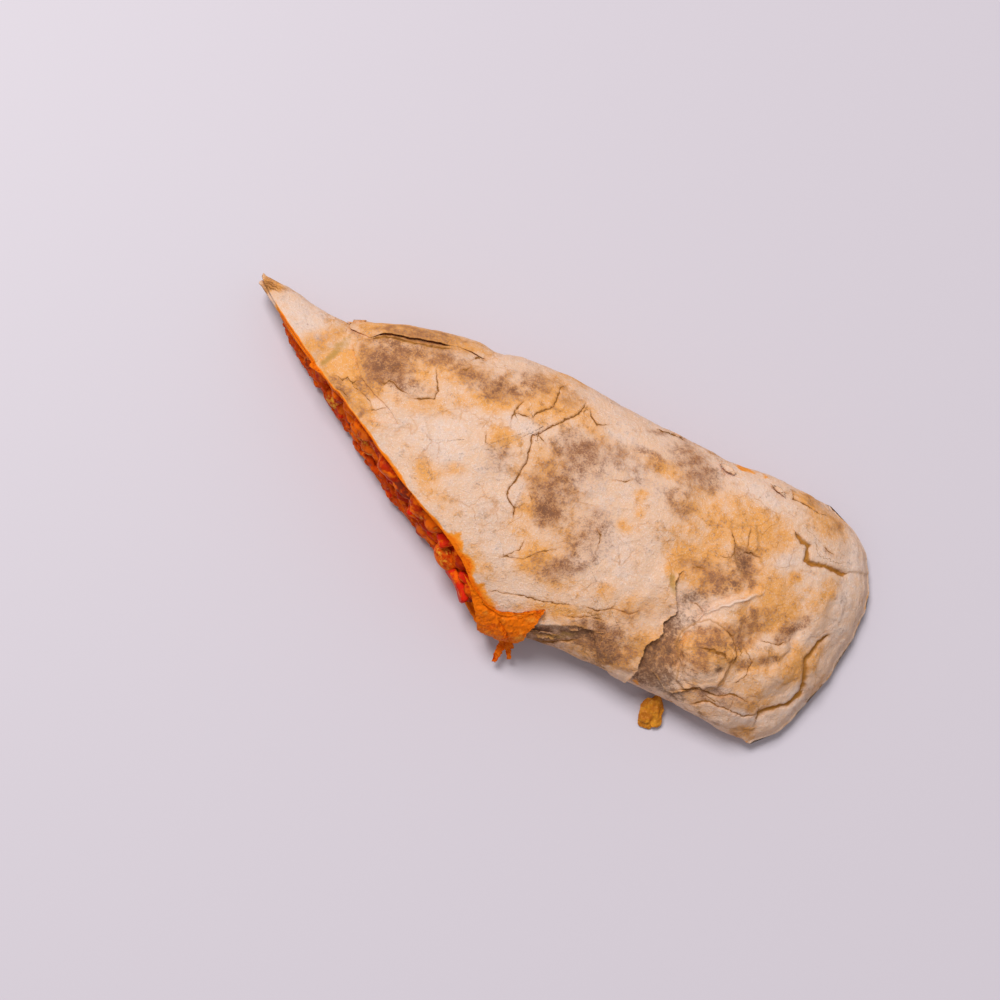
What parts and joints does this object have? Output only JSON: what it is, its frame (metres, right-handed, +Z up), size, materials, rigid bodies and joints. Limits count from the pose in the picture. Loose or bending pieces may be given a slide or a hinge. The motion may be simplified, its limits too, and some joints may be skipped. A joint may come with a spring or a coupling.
{
  "type": "half burrito",
  "caption": "Slant-cut half of a flattened, baked flatbread roll with a saucy chunky filling at the cut, for eating by hand.",
  "frame": {"origin": "under the middle of the whole, on the surface that the food lies on", "axes": "+X along the roll from the sharp tip of the cut to the folded-in end, +Y across the roll away from the cut's near corner, +Z up"},
  "size_m": [0.2034, 0.0842, 0.0334],
  "materials": {
    "flatbread": "matt, floury and toasted in spots",
    "filling": "moist and glossy with sauce",
    "cheese_scrap": "greasy and browned"
  },
  "bodies": {
    "root": {"flatbread": "flatbread", "filling": "filling", "cheese_scrap": "cheese_scrap"}
  },
  "joints": []
}
